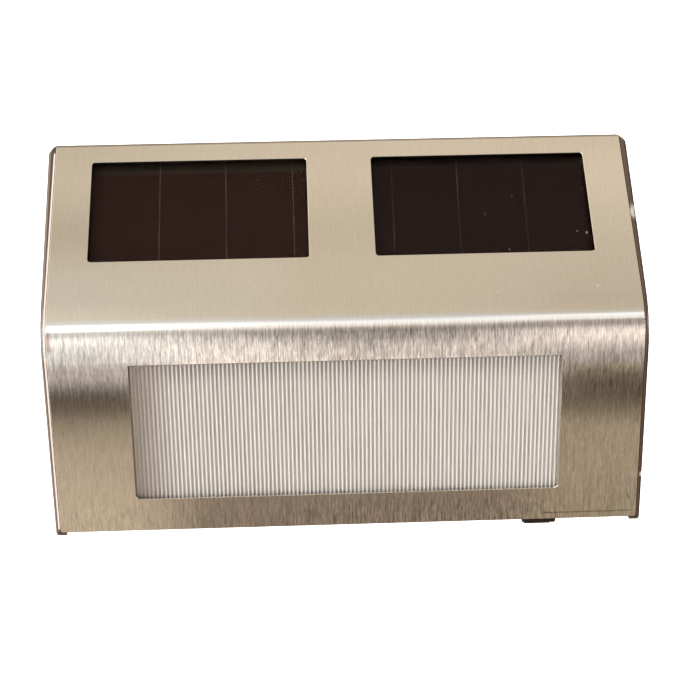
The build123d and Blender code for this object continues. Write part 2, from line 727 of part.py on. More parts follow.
parts["panel_leads_red"] = Compound(children=[panel_lead(k * 13.6, k, 13.4) for k in (1, -1)])
parts["panel_leads_black"] = Compound(children=[panel_lead(k * 16.6, k, 13.4) for k in (1, -1)])


def lamp_lead(x, z):
    zb = (LB0 + LB1) / 2
    return lead([(x, -23.98, zb), (x, -19.5, zb), (x, -14.2, z), (x, y_at_board(), z)])


parts["lamp_lead_red"] = lamp_lead(13.2, 2.6)
parts["lamp_lead_black"] = lamp_lead(16.0, 2.6)
parts["battery_lead_black"] = lead(
    [(-28.43, -11.0, BAY_Z + 10.62), (-28.43, -11.0, -2.4), (-22.6, -15.4, 4.0), (-22.6, y_at_board(), 4.0)]
)
parts["battery_lead_red"] = lead(
    [(26.68, -11.0, BAY_Z + 10.62), (26.68, -11.0, -0.6), (22.8, -15.2, 7.4), (22.8, y_at_board(), 7.4)]
)
parts["switch_leads"] = Compound(
    children=[
        lead(
            [(45.0, SW_Y + 7.62, -40.0), (45.0, -15.5, -39.4), (44.2, -12.0, -29.0), (43.4, -12.0, -13.0),
             (40.5, -12.6, 0.0), (31.0, -13.8, 9.0), (22.8, -15.0, 13.4), (22.8, y_at_board(), 13.4)]
        ),
        lead(
            [(48.4, SW_Y + 7.62, -40.0), (48.4, -15.0, -39.2), (47.4, -13.6, -28.0), (46.6, -14.2, -11.0),
             (43.0, -15.2, 3.0), (31.5, -17.2, 12.0), (19.8, -17.2, 14.3), (19.8, y_at_board(), 14.3)]
        ),
    ]
)

os.makedirs("parts", exist_ok=True)
for name, shape in parts.items():
    export_step(shape, f"parts/{name}.step")
    solids = shape.solids()
    print(name, len(solids), round(sum(s.volume for s in solids), 1), all(s.is_valid for s in solids))
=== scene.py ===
from math import sin, cos, tan, radians, sqrt, pi, atan2

import bpy
from mathutils import Matrix, Vector


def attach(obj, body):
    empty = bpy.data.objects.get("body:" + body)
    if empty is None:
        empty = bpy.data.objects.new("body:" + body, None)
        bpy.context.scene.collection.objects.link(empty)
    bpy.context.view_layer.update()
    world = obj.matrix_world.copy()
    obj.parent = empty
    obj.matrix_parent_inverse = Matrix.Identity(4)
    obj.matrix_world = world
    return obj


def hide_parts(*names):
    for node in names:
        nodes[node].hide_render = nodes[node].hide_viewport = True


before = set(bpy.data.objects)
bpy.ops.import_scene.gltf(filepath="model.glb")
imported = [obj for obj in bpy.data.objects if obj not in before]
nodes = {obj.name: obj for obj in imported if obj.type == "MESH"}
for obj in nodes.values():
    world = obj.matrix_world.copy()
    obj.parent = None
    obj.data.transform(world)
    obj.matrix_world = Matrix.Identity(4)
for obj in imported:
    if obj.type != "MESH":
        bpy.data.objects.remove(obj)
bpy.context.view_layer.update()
scene = bpy.context.scene
MM = 0.001

# ------------------------------------------------------------------ sizes, mm
COVER_W = 139.3
SHEET = 0.8
SLOPE_RUN = 36.8
FRONT_H = 50.15
BEND_R = 18.0
COVER_DX = 0.1
WINDOW_DX = -0.3
FRONT_Y = -39.6
COVER_TOP = 43.3
FOLD_Z = COVER_TOP - SLOPE_RUN
COVER_BOTTOM = FOLD_Z - FRONT_H
Q = sqrt(0.5)
T0 = BEND_R * tan(radians(22.5))
ARC_Y = FRONT_Y + BEND_R
ARC_Z = FOLD_Z - T0
ARC_L = BEND_R * pi / 4
S_TOP = SLOPE_RUN / Q
V_TOP = T0 - S_TOP                    # v runs down the profile, 0 where the bend begins
V_END = ARC_L + FRONT_H - T0
PANEL_WIN = (7.9, 60.3, 18.95, 47.05)
LENS_WIN = (50.7, 8.15, 41.95)
LENS = (53.0, 6.0, 44.2)


# ------------------------------------------------------------------ node helpers
def new_material(name):
    m = bpy.data.materials.new(name)
    m.use_nodes = True
    nt = m.node_tree
    nt.nodes.clear()
    out = nt.nodes.new("ShaderNodeOutputMaterial")
    b = nt.nodes.new("ShaderNodeBsdfPrincipled")
    nt.links.new(b.outputs[0], out.inputs[0])
    return m, nt, b


class G:
    """Small wrapper that makes shader nodes and links them."""

    def __init__(self, nt):
        self.nt = nt

    def put(self, socket, value):
        if isinstance(value, bpy.types.NodeSocket):
            self.nt.links.new(value, socket)
        elif value is not None:
            socket.default_value = value

    def coords(self, kind="Object"):
        return self.nt.nodes.new("ShaderNodeTexCoord").outputs[kind]

    def scaled(self, vec, scale, loc=(0, 0, 0), rot=(0, 0, 0)):
        n = self.nt.nodes.new("ShaderNodeMapping")
        self.put(n.inputs["Vector"], vec)
        n.inputs["Scale"].default_value = scale
        n.inputs["Location"].default_value = loc
        n.inputs["Rotation"].default_value = rot
        return n.outputs[0]

    def noise(self, vec, scale=1.0, detail=2.0, rough=0.5, distort=0.0, out="Fac"):
        n = self.nt.nodes.new("ShaderNodeTexNoise")
        self.put(n.inputs["Vector"], vec)
        n.inputs["Scale"].default_value = scale
        n.inputs["Detail"].default_value = detail
        n.inputs["Roughness"].default_value = rough
        n.inputs["Distortion"].default_value = distort
        return n.outputs[out]

    def voronoi(self, vec, scale=1.0, feature="F1", out="Distance", rand=1.0):
        n = self.nt.nodes.new("ShaderNodeTexVoronoi")
        n.feature = feature
        self.put(n.inputs["Vector"], vec)
        n.inputs["Scale"].default_value = scale
        n.inputs["Randomness"].default_value = rand
        return n.outputs[out]

    def math(self, op, a, b=None, c=None, clamp=False):
        n = self.nt.nodes.new("ShaderNodeMath")
        n.operation = op
        n.use_clamp = clamp
        self.put(n.inputs[0], a)
        if b is not None:
            self.put(n.inputs[1], b)
        if c is not None:
            self.put(n.inputs[2], c)
        return n.outputs[0]

    def maprange(self, v, a, b, c=0.0, d=1.0, smooth=False):
        n = self.nt.nodes.new("ShaderNodeMapRange")
        n.interpolation_type = "SMOOTHSTEP" if smooth else "LINEAR"
        self.put(n.inputs[0], v)
        n.inputs[1].default_value = a
        n.inputs[2].default_value = b
        n.inputs[3].default_value = c
        n.inputs[4].default_value = d
        return n.outputs[0]

    def mix(self, fac, a, b, blend="MIX"):
        n = self.nt.nodes.new("ShaderNodeMix")
        n.data_type = "RGBA"
        n.blend_type = blend
        self.put(n.inputs[0], fac)
        for s, v in ((n.inputs[6], a), (n.inputs[7], b)):
            if isinstance(v, tuple) and len(v) == 3:
                v = (*v, 1.0)
            self.put(s, v)
        return n.outputs[2]

    def fmix(self, fac, a, b):
        n = self.nt.nodes.new("ShaderNodeMix")
        n.data_type = "FLOAT"
        self.put(n.inputs[0], fac)
        self.put(n.inputs[2], a)
        self.put(n.inputs[3], b)
        return n.outputs[0]

    def ramp(self, fac, stops, mode="LINEAR"):
        n = self.nt.nodes.new("ShaderNodeValToRGB")
        n.color_ramp.interpolation = mode
        els = n.color_ramp.elements
        while len(els) > 1:
            els.remove(els[-1])
        els[0].position = stops[0][0]
        els[0].color = (*stops[0][1], 1.0)
        for p, c in stops[1:]:
            e = els.new(p)
            e.color = (*c, 1.0)
        self.put(n.inputs[0], fac)
        return n.outputs[0]

    def split(self, vec):
        n = self.nt.nodes.new("ShaderNodeSeparateXYZ")
        self.put(n.inputs[0], vec)
        return n.outputs[0], n.outputs[1], n.outputs[2]

    def join(self, x, y, z):
        n = self.nt.nodes.new("ShaderNodeCombineXYZ")
        for s, v in zip(n.inputs, (x, y, z)):
            self.put(s, v)
        return n.outputs[0]

    def bump(self, height, dist, strength=1.0, normal=None):
        n = self.nt.nodes.new("ShaderNodeBump")
        n.inputs["Strength"].default_value = strength
        n.inputs["Distance"].default_value = dist
        self.put(n.inputs["Height"], height)
        if normal is not None:
            self.put(n.inputs["Normal"], normal)
        return n.outputs[0]

    def near(self, vec, point, radius, soft=0.5):
        """1 close to a point of the object, 0 away from it."""
        n = self.nt.nodes.new("ShaderNodeVectorMath")
        n.operation = "DISTANCE"
        self.put(n.inputs[0], vec)
        n.inputs[1].default_value = point
        return self.maprange(n.outputs["Value"], radius * (1 - soft), radius, 1.0, 0.0, True)


def grey(v):
    return (v, v, v)


# ------------------------------------------------------------------ materials
def steel_material():
    """Brushed stainless sheet. The grain runs down the profile, so the coordinate across it is X."""
    m, nt, b = new_material("brushed_steel")
    g = G(nt)
    p = g.coords()
    x, y, z = g.split(p)
    # how strongly the grain shows: faint on the slope, strongest in the lower half of the bend
    strong = g.maprange(y, -0.0376, -0.0387, 0.0, 1.0, True)
    lower = g.maprange(z, -0.004, -0.014, 3.0, 1.05, True)
    under = g.math("MULTIPLY", g.maprange(z, -0.035, -0.039, 0.0, 1.0, True), g.maprange(x, -0.022, 0.0, 0.7, 2.2, True))
    lower = g.math("MULTIPLY_ADD", under, g.maprange(x, 0.044, 0.054, 1.0, 0.15, True), lower)
    lower = g.math("MULTIPLY", lower, g.maprange(x, -0.052, -0.038, 0.78, 1.0, True))
    lower = g.math("MULTIPLY", lower, g.fmix(g.maprange(x, 0.045, 0.055, 0.0, 1.0, True), 1.0,
                                             g.maprange(z, -0.004, -0.012, 0.88, 1.3, True)))
    fine = g.noise(g.scaled(p, (2600, 240, 240)), 1.0, 2.0, 0.6)
    broad = g.noise(g.scaled(p, (900, 110, 110), loc=(3, 1, 7)), 1.0, 2.0, 0.5)
    ticks = g.noise(g.scaled(p, (3400, 640, 640), loc=(9, 2, 4)), 1.0, 1.0, 0.5)
    cloud = g.noise(g.scaled(p, (34, 30, 30)), 1.0, 4.0, 0.6)
    grain = g.math("ADD", g.math("MULTIPLY", fine, 0.55), g.math("MULTIPLY", broad, 0.07))
    grain = g.math("ADD", grain, g.math("MULTIPLY", ticks, 0.38))
    g0 = g.math("SUBTRACT", grain, 0.5)
    amount = g.fmix(strong, 0.20, lower)
    tone = g.math("MULTIPLY_ADD", g0, amount, 1.0)
    tone = g.math("MULTIPLY_ADD", g.math("SUBTRACT", cloud, 0.5), 0.17, tone)
    base = g.mix(g.maprange(cloud, 0.3, 0.7), (0.665, 0.615, 0.525), (0.645, 0.605, 0.53))
    n = nt.nodes.new("ShaderNodeVectorMath")
    n.operation = "SCALE"
    g.put(n.inputs[0], base)
    g.put(n.inputs["Scale"], tone)
    colour = n.outputs[0]
    # a few bright nicks and one long scratch near the lower right corner
    spots = g.voronoi(g.scaled(p, (130, 130, 130), loc=(0.4, 0.1, 0.7)))
    spot = g.maprange(spots, 0.035, 0.06, 1.0, 0.0)
    pick = g.maprange(g.noise(g.scaled(p, (70, 70, 70), loc=(5, 5, 5)), 1.0, 0.0), 0.60, 0.64)
    spot = g.math("MULTIPLY", spot, pick)
    colour = g.mix(g.math("MULTIPLY", spot, 0.4), colour, (0.95, 0.92, 0.85))
    wobble = g.math("MULTIPLY_ADD", g.noise(g.scaled(p, (160, 1, 1)), 1.0, 1.0), 0.0003, 0.04185)
    line = g.math("MULTIPLY", g.maprange(g.math("ABSOLUTE", g.math("ADD", z, wobble)), 0.00009, 0.00024, 1.0, 0.0),
                  g.maprange(x, 0.0468, 0.0476))
    line = g.math("MULTIPLY", line, g.maprange(x, 0.0690, 0.0676))
    line = g.math("MULTIPLY", line, g.maprange(x, 0.0476, 0.0510, 1.0, 0.7))
    # a short oblique one above its end
    lean = g.math("ABSOLUTE", g.math("ADD", g.math("MULTIPLY_ADD", z, 0.37, x), -0.05351))
    nick = g.math("MULTIPLY", g.maprange(lean, 0.00006, 0.00020, 1.0, 0.0), g.maprange(z, -0.0394, -0.0390))
    nick = g.math("MULTIPLY", nick, g.maprange(z, -0.0372, -0.0376))
    colour = g.mix(g.math("MULTIPLY", g.math("MAXIMUM", line, nick), 0.85), colour, (0.16, 0.13, 0.05))
    # the rounded cut edge along the top is coloured darker
    colour = g.mix(g.maprange(z, 0.04293, 0.04312, 0.0, 0.6, True), colour, (0.27, 0.22, 0.165))
    # browner at the left edge of the bend
    left_bend_brown = g.math("MULTIPLY", g.maprange(x, -0.0682, -0.0688, 0.0, 1.0, True),
                    g.maprange(g.math("ABSOLUTE", g.math("ADD", z, -0.0043)), 0.0014, 0.0032, 1.0, 0.0, True))
    colour = g.mix(g.math("MULTIPLY", left_bend_brown, 0.55), colour, (0.30, 0.20, 0.14))
    g.put(b.inputs["Base Color"], colour)
    b.inputs["Metallic"].default_value = 1.0
    rough = g.math("MULTIPLY_ADD", g0, 0.06, 0.092)
    g.put(b.inputs["Roughness"], rough)
    b.inputs["Anisotropic"].default_value = 1.0
    t = nt.nodes.new("ShaderNodeTangent")
    t.direction_type = "UV_MAP"
    t.uv_map = "grain"
    g.put(b.inputs["Tangent"], t.outputs[0])
    lift = g.math("MULTIPLY", g0, g.fmix(strong, 0.25, 1.0))
    wave = g.noise(g.scaled(p, (11, 16, 16), loc=(2, 2, 2)), 1.0, 1.0)
    first = g.bump(wave, 0.0003, 0.25)
    g.put(b.inputs["Normal"], g.bump(lift, 0.000012, 0.9, first))
    return m


def plastic(name, colour, rough=0.35, grain=0.02, scale=5000, spec=0.5, var=0.15, wave=0.0, scuffs=(), rim_highlight=None):
    """Moulded plastic: faint colour drift, fine moulded texture, uneven gloss, and an optional painted highlight along
    the left rim.
    """
    m, nt, b = new_material(name)
    g = G(nt)
    p = g.coords()
    drift = g.noise(g.scaled(p, (40, 40, 40)), 1.0, 3.0)
    dark = tuple(c * (1 - var) for c in colour)
    light = tuple(min(1.0, c * (1 + var)) for c in colour)
    col = g.mix(g.maprange(drift, 0.3, 0.7), dark, light)
    rub = g.noise(g.scaled(p, (260, 260, 260)), 1.0, 4.0, 0.7)
    for point, radius, tint, amount in scuffs:
        hit = g.math("MULTIPLY", g.near(p, point, radius, 0.8), g.maprange(rub, 0.42, 0.58))
        col = g.mix(g.math("MULTIPLY", hit, amount), col, tint)
    if rim_highlight:
        # painted highlight: a pale band down the front edge of the left rim, where the rim catches the light from the
        # left
        x, y, z = g.split(p)
        rim_highlight_band = g.maprange(g.math("ABSOLUTE", g.math("ADD", x, 0.06988)), 0.00015, 0.00026, 1.0, 0.0, True)
        rim_highlight_band = g.math("MULTIPLY", rim_highlight_band, g.maprange(y, -0.002, -0.003))
        rim_highlight_band = g.math("MULTIPLY", rim_highlight_band, g.math("MULTIPLY", g.maprange(z, 0.0420, 0.0415), g.maprange(z, -0.0430, -0.0425)))
        col = g.mix(g.math("MULTIPLY", rim_highlight_band, 0.8), col, rim_highlight)
    g.put(b.inputs["Base Color"], col)
    g.put(b.inputs["Roughness"], g.math("MULTIPLY_ADD", g.math("SUBTRACT", rub, 0.5), 0.25, rough))
    b.inputs["Specular IOR Level"].default_value = spec
    fine = g.noise(g.scaled(p, (scale, scale, scale)), 1.0, 1.0)
    nrm = g.bump(fine, 0.00001, grain * 10)
    if wave:
        nrm = g.bump(g.noise(g.scaled(p, (60, 60, 60)), 1.0, 2.0), 0.0002, wave, nrm)
    g.put(b.inputs["Normal"], nrm)
    return m


def metal(name, colour, rough=0.3, streak=(400, 400, 400), amount=0.15):
    m, nt, b = new_material(name)
    g = G(nt)
    p = g.coords()
    n1 = g.noise(g.scaled(p, streak), 1.0, 3.0)
    g.put(b.inputs["Base Color"], g.mix(g.maprange(n1, 0.3, 0.7), tuple(c * 0.86 for c in colour), colour))
    b.inputs["Metallic"].default_value = 1.0
    g.put(b.inputs["Roughness"], g.math("MULTIPLY_ADD", g.math("SUBTRACT", n1, 0.5), amount, rough))
    g.put(b.inputs["Normal"], g.bump(n1, 0.00002, 0.4))
    return m


def glass_material():
    """Clear cover glass of a panel, with dust gathered along its edges."""
    m, nt, b = new_material("panel_glass")
    g = G(nt)
    p = g.coords()
    b.inputs["Base Color"].default_value = (0.93, 0.95, 0.94, 1)
    b.inputs["Transmission Weight"].default_value = 1.0
    b.inputs["IOR"].default_value = 1.10
    sm = g.noise(g.scaled(p, (90, 90, 90)), 1.0, 3.0)
    g.put(b.inputs["Roughness"], g.maprange(sm, 0.3, 0.8, 0.015, 0.06))
    # dust specks as a diffuse layer over the glass
    d = nt.nodes.new("ShaderNodeBsdfDiffuse")
    d.inputs[0].default_value = (0.72, 0.68, 0.60, 1)
    v = g.voronoi(g.scaled(p, (430, 430, 430)))
    size = g.noise(g.scaled(p, (160, 160, 160), loc=(1, 8, 3)), 1.0, 2.0)
    x, y, z = g.split(p)
    edge = g.math("MULTIPLY", g.maprange(x, 0.0565, 0.0602, 0.0, 0.26, True), g.maprange(z, 0.018, 0.036, 0.5, 1.0))
    thr = g.math("ADD", g.maprange(size, 0.40, 0.62, 0.0, 0.10), g.math("MULTIPLY", edge, size))
    speck = g.math("LESS_THAN", v, thr)
    mixn = nt.nodes.new("ShaderNodeMixShader")
    out = next(n for n in nt.nodes if n.type == "OUTPUT_MATERIAL")
    g.put(mixn.inputs[0], g.math("MULTIPLY", speck, g.maprange(x, 0.0, 0.056, 0.04, 0.11)))
    nt.links.new(b.outputs[0], mixn.inputs[1])
    nt.links.new(d.outputs[0], mixn.inputs[2])
    nt.links.new(mixn.outputs[0], out.inputs[0])
    return m


def lens_material():
    """Milky clear plastic; the grooves between the ribs are painted darker as shade, with a random tone."""
    m, nt, b = new_material("lens_clear")
    g = G(nt)
    p = g.coords()
    x, y, z = g.split(p)
    wave = g.math("COSINE", g.math("MULTIPLY", x, 2 * pi / (RIB_PITCH * MM)))
    crest = g.maprange(wave, 0.45, -0.85, 0.0, 1.0, True)
    # painted shade: the grooves get a darker colour than the crests, varying at random between two dark tones
    groove_tone = g.noise(g.scaled(p, (1400, 60, 90)), 1.0, 2.0)
    groove = g.mix(g.maprange(groove_tone, 0.3, 0.7), LENS_GROOVE_SHADE[0], LENS_GROOVE_SHADE[1])
    # painted shade along the top, for the space behind that lies in shadow there; it shows mainly between the ribs
    top = g.maprange(z, -0.0085, -0.0025, 0.0, 1.0, True)
    groove = g.mix(g.math("MULTIPLY", top, 0.52), groove, (0.22, 0.17, 0.15))
    ribs = g.mix(crest, groove, g.mix(g.math("MULTIPLY", top, 0.22), LENS_LIGHT, (0.45, 0.38, 0.32)))
    # painted shade: at the left end the lens is painted browner and darker for the shaded side of the lamp housing seen
    # through it, with both edges of each rib
    double = g.math("COSINE", g.math("MULTIPLY", x, 4 * pi / (RIB_PITCH * MM)))
    brown = g.mix(g.maprange(double, -0.6, 0.6, 0.0, 1.0, True), (0.54, 0.46, 0.385), (0.34, 0.285, 0.235))
    uneven = g.math("MULTIPLY_ADD", g.noise(g.scaled(p, (500, 60, 60), loc=(4, 4, 4)), 1.0, 1.0), 0.003, x)
    side = g.maprange(uneven, -0.0380, -0.0490, 0.0, 1.0, True)
    tint = g.mix(side, ribs, brown)
    # painted light: the leftmost strip of the lens is painted paler, lifting the shadow of the window's edge
    tint = g.mix(g.maprange(x, -0.0494, -0.0502, 0.0, 0.45, True), tint, (0.80, 0.70, 0.60))
    g.put(b.inputs["Base Color"], tint)
    b.inputs["Transmission Weight"].default_value = LENS_CLEAR
    b.inputs["IOR"].default_value = 1.49
    sm = g.noise(g.scaled(p, (120, 120, 300)), 1.0, 3.0)
    g.put(b.inputs["Roughness"], g.maprange(sm, 0.3, 0.8, 0.12, 0.22))
    return m


def cell_material(name, colour):
    m, nt, b = new_material(name)
    g = G(nt)
    p = g.coords()
    n1 = g.noise(g.scaled(p, (24, 24, 24)), 1.0, 3.0)
    n2 = g.noise(g.scaled(p, (30, 400, 400)), 1.0, 3.0)
    col = g.mix(g.maprange(n1, 0.3, 0.7), tuple(c * 0.8 for c in colour), tuple(c * 1.2 for c in colour))
    col = g.mix(g.math("MULTIPLY", g.maprange(n2, 0.4, 0.8), 0.10), col, tuple(c * 2 for c in colour))
    # the right-hand module is a shade darker
    x, y, z = g.split(p)
    col = g.mix(g.maprange(x, -0.004, 0.004), col, g.mix(1.0, col, (0.50, 0.44, 0.52), "MULTIPLY"))
    g.put(b.inputs["Base Color"], col)
    g.put(b.inputs["Roughness"], g.maprange(n2, 0.3, 0.7, 0.30, 0.42))
    b.inputs["Specular IOR Level"].default_value = 0.04
    return m


def assign(obj, *mats):
    obj.data.materials.clear()
    for m in mats:
        obj.data.materials.append(m)


RIB_PITCH, RIB_W, RIB_H = 0.985, 0.64, 0.3
LENS_LIGHT = (0.885, 0.845, 0.79)
LENS_GROOVE_SHADE = ((0.455, 0.415, 0.365), (0.575, 0.535, 0.475))
LENS_CLEAR = 0.6

STEEL = steel_material()
HOUSING = plastic("housing_black", (0.040, 0.022, 0.014), rough=0.22, grain=0.02, var=0.2, wave=0.12, spec=0.8,
                  scuffs=[((0.0712, -0.0185, 0.0275), 0.0030, (0.62, 0.58, 0.52), 0.6),
                          ((0.0708, -0.0392, -0.0325), 0.0010, (0.75, 0.70, 0.62), 0.9)],
                  # colour of the painted highlight on the left rim
                  rim_highlight=(0.62, 0.53, 0.48))
DOOR = plastic("door_black", (0.040, 0.026, 0.018), rough=0.36, grain=0.03, var=0.2)
CARRIER = plastic("carrier_black", (0.018, 0.016, 0.015), rough=0.45)
SWITCH = plastic("switch_black", (0.016, 0.006, 0.003), rough=0.42, spec=0.2)
ROCKER = plastic("rocker_black", (0.080, 0.055, 0.044), rough=0.30)
WHITE = plastic("reflector_white", (0.86, 0.85, 0.82), rough=0.28, var=0.02)
FOAM = plastic("seal_rubber", (0.03, 0.03, 0.03), rough=0.8, grain=0.08, scale=2500)
BOARD = plastic("board_green", (0.02, 0.11, 0.05), rough=0.35, var=0.25)
CHIP = plastic("chip_black", (0.02, 0.02, 0.022), rough=0.5)
CELLWRAP = plastic("cell_wrap", (0.05, 0.22, 0.09), rough=0.25, var=0.1)
RED = plastic("lead_red", (0.42, 0.02, 0.02), rough=0.35)
BLACKWIRE = plastic("lead_black", (0.02, 0.02, 0.02), rough=0.35)
ZINC = metal("zinc_screw", (0.72, 0.71, 0.68), 0.28)
NICKEL = metal("nickel", (0.70, 0.67, 0.60), 0.22)
COPPER = metal("copper", (0.80, 0.42, 0.26), 0.25)
GLASS = glass_material()
LENSMAT = lens_material()
CELLS = cell_material("cell_film", (0.0122, 0.0036, 0.0018))
# painted light: a lighter, greener copy of the cell film for the top band of each strip, in place of the reflection
# along the window's upper edge
CELL_TOP_LIT = cell_material("cell_top_painted_light", (0.020, 0.0125, 0.0085))
CELLGAP = cell_material("cell_gap", (0.040, 0.028, 0.025))
LAMP, lnt, lb = new_material("lamp_clear")
lg = G(lnt)
lb.inputs["Base Color"].default_value = (0.98, 0.97, 0.92, 1)
lb.inputs["Transmission Weight"].default_value = 1.0
lg.put(lb.inputs["Roughness"], lg.maprange(lg.noise(lg.scaled(lg.coords(), (500, 500, 500)), 1.0, 2.0), 0.3, 0.7, 0.03, 0.12))

KEEP = {
    "rear_housing": HOUSING, "battery_door": DOOR, "inner_carrier": CARRIER, "cover_tape": FOAM,
    "panel_gasket_left": FOAM, "panel_gasket_right": FOAM, "lens_gasket": FOAM, "battery_door_seal": FOAM,
    "panel_glass_left": GLASS, "panel_glass_right": GLASS, "reflector": WHITE, "reflector_screws": ZINC,
    "lamp_board_screws": ZINC, "housing_screws": ZINC, "battery_door_screws": ZINC, "control_board_screws": ZINC,
    "lamp_board": BOARD, "control_board": BOARD, "lamp_leds": LAMP, "battery_cell": CELLWRAP,
    "battery_spring": NICKEL, "battery_contact": NICKEL, "switch_terminals": NICKEL, "control_chip": CHIP,
    "control_capacitor": CHIP, "control_inductor": COPPER, "switch_contact": COPPER, "switch_body": SWITCH,
    "switch_rocker": ROCKER, "panel_leads_red": RED, "lamp_lead_red": RED, "battery_lead_red": RED,
    "switch_leads": RED, "panel_leads_black": BLACKWIRE, "lamp_lead_black": BLACKWIRE,
    "battery_lead_black": BLACKWIRE,
}
for name, m in KEEP.items():
    assign(nodes[name], m)


# ------------------------------------------------------------------ mesh helpers
def profile(x, v, o):
    """Point and outward normal of the folded sheet: v down the profile, o inwards. Metres."""
    if v <= 0:
        s = T0 - v
        p = (x, FRONT_Y + (s + o) * Q, FOLD_Z + (s - o) * Q)
        n = Vector((0, -Q, Q))
    elif v < ARC_L:
        a = radians(135) + v / BEND_R
        r = BEND_R - o
        p = (x, ARC_Y + r * cos(a), ARC_Z + r * sin(a))
        n = Vector((0, cos(a), sin(a)))
    else:
        d = v - ARC_L + T0
        p = (x, FRONT_Y + o, FOLD_Z - d)
        n = Vector((0, -1, 0))
    return Vector(p) * MM, n


def down(v):
    """Unit direction of growing v at v."""
    if v <= 0:
        return Vector((0, -Q, -Q))
    if v < ARC_L:
        a = radians(135) + v / BEND_R
        return Vector((0, -sin(a), cos(a)))
    return Vector((0, 0, -1))


def make_object(name, verts, faces, normals=None, uvs=None, mats=(), face_mat=None):
    me = bpy.data.meshes.new(name)
    me.from_pydata([tuple(v) for v in verts], [], faces)
    me.validate()
    me.update()
    ob = bpy.data.objects.new(name, me)
    scene.collection.objects.link(ob)
    for p in me.polygons:
        p.use_smooth = True
    if face_mat is not None:
        for p, k in zip(me.polygons, face_mat):
            p.material_index = k
    if uvs is not None:
        layer = me.uv_layers.new(name="grain")
        for l in me.loops:
            layer.data[l.index].uv = uvs[l.vertex_index]
    if normals is not None:
        me.normals_split_custom_set_from_vertices([tuple(n) for n in normals])
    for m in mats:
        me.materials.append(m)
    return ob


def arc_points(cx, cv, r, a0, a1, n=6):
    return [(cx + r * cos(radians(a0 + (a1 - a0) * k / n)), cv + r * sin(radians(a0 + (a1 - a0) * k / n)))
            for k in range(n + 1)]


def hole_corners(h, radii):
    """Fans for a hole's rounded corners: the material fills the corner outside the arc."""
    x0, x1, v0, v1 = h
    r_tl, r_tr, r_br, r_bl = radii
    out = []
    r = r_tl
    out.append((x0, x0 + r, v0, v0 + r, ((x0, v0), arc_points(x0 + r, v0 + r, r, 270, 180))))
    r = r_tr
    out.append((x1 - r, x1, v0, v0 + r, ((x1, v0), arc_points(x1 - r, v0 + r, r, 0, -90))))
    r = r_br
    out.append((x1 - r, x1, v1 - r, v1, ((x1, v1), arc_points(x1 - r, v1 - r, r, 90, 0))))
    r = r_bl
    out.append((x0, x0 + r, v1 - r, v1, ((x0, v1), arc_points(x0 + r, v1 - r, r, 180, 90))))
    return out


def outer_corners(x0, x1, v0, v1, r):
    out = []
    out.append((x0, x0 + r, v0, v0 + r, ((x0 + r, v0 + r), arc_points(x0 + r, v0 + r, r, 180, 270))))
    out.append((x1 - r, x1, v0, v0 + r, ((x1 - r, v0 + r), arc_points(x1 - r, v0 + r, r, 270, 360))))
    out.append((x1 - r, x1, v1 - r, v1, ((x1 - r, v1 - r), arc_points(x1 - r, v1 - r, r, 0, 90))))
    out.append((x0, x0 + r, v1 - r, v1, ((x0 + r, v1 - r), arc_points(x0 + r, v1 - r, r, 90, 180))))
    return out


def sheet_piece(name, pts, faces, thick, bevel, place, along, mats):
    """A sheet with rounded cut edges from a flat lattice. place(x, v, o) gives a point and the
    outward normal, along(v) the direction of growing v."""
    # orient all faces the same way in the flat plane
    tidy = []
    for f in faces:
        area = 0
        for a, b in zip(f, f[1:] + f[:1]):
            area += pts[a][0] * pts[b][1] - pts[b][0] * pts[a][1]
        tidy.append(f if area > 0 else f[::-1])
    count = {}
    for f in tidy:
        for a, b in zip(f, f[1:] + f[:1]):
            count[(a, b)] = count.get((a, b), 0) + 1
    border = [(a, b) for a, b in count if (b, a) not in count]
    nxt = dict(border)
    prv = {b: a for a, b in border}
    # outward direction of each border point: right hand side of a counter-clockwise border edge
    mitre = {}
    for i in nxt:
        a, b, c = pts[prv[i]], pts[i], pts[nxt[i]]
        e1 = Vector((b[0] - a[0], b[1] - a[1])).normalized()
        e2 = Vector((c[0] - b[0], c[1] - b[1])).normalized()
        n1, n2 = Vector((e1.y, -e1.x)), Vector((e2.y, -e2.x))
        m = (n1 + n2).normalized()
        mitre[i] = m / max(0.3, m.dot(n1))
    verts, normals, uvs, out_faces = [], [], [], []

    def add(x, v, o, side=None, share=0.0):
        p, n = place(x, v, o)
        if side is not None:
            lat = Vector((side[0], 0, 0)) + along(v) * side[1]
            lat.normalize()
            n = (n * sqrt(max(0, 1 - share * share)) * (1 if o < thick / 2 else -1) + lat * share).normalized()
        elif o > thick / 2:
            n = -n
        verts.append(p)
        normals.append(n)
        uvs.append((x / 150.0 + 0.5, 0.35 - v / 150.0))
        return len(verts) - 1

    def inset(i, by):
        if i in mitre:
            return pts[i][0] - mitre[i].x * by, pts[i][1] - mitre[i].y * by
        return pts[i]

    front = {i: add(*inset(i, bevel), 0.0) for i in range(len(pts))}
    back = {i: add(*inset(i, bevel), thick) for i in range(len(pts))}
    for f in tidy:
        a = [front[i] for i in f]
        out_faces.append(a)
        out_faces.append([back[i] for i in f[::-1]])
    steps = [(30, 0), (60, 0), (90, 0), (90, 1), (60, 1), (30, 1)]
    rings = []
    for ang, backside in steps:
        s, c = sin(radians(ang)), cos(radians(ang))
        ring = {}
        for i in nxt:
            x, v = inset(i, bevel * (1 - s))
            o = bevel * (1 - c)
            if backside:
                o = thick - o
            ring[i] = add(x, v, o, mitre[i], s)
        rings.append(ring)
    chain = [front] + rings + [back]
    for r0, r1 in zip(chain, chain[1:]):
        for a, b in border:
            out_faces.append([r0[b], r0[a], r1[a], r1[b]])
    ob = make_object(name, verts, out_faces, normals, uvs, mats)
    # the lattice's winding decides which way all faces look: check one and flip all if needed
    me = ob.data
    p0 = me.polygons[0]
    if p0.normal.dot(normals[out_faces[0][0]]) < 0:
        me.flip_normals()
        me.normals_split_custom_set_from_vertices([tuple(n) for n in normals])
    return ob


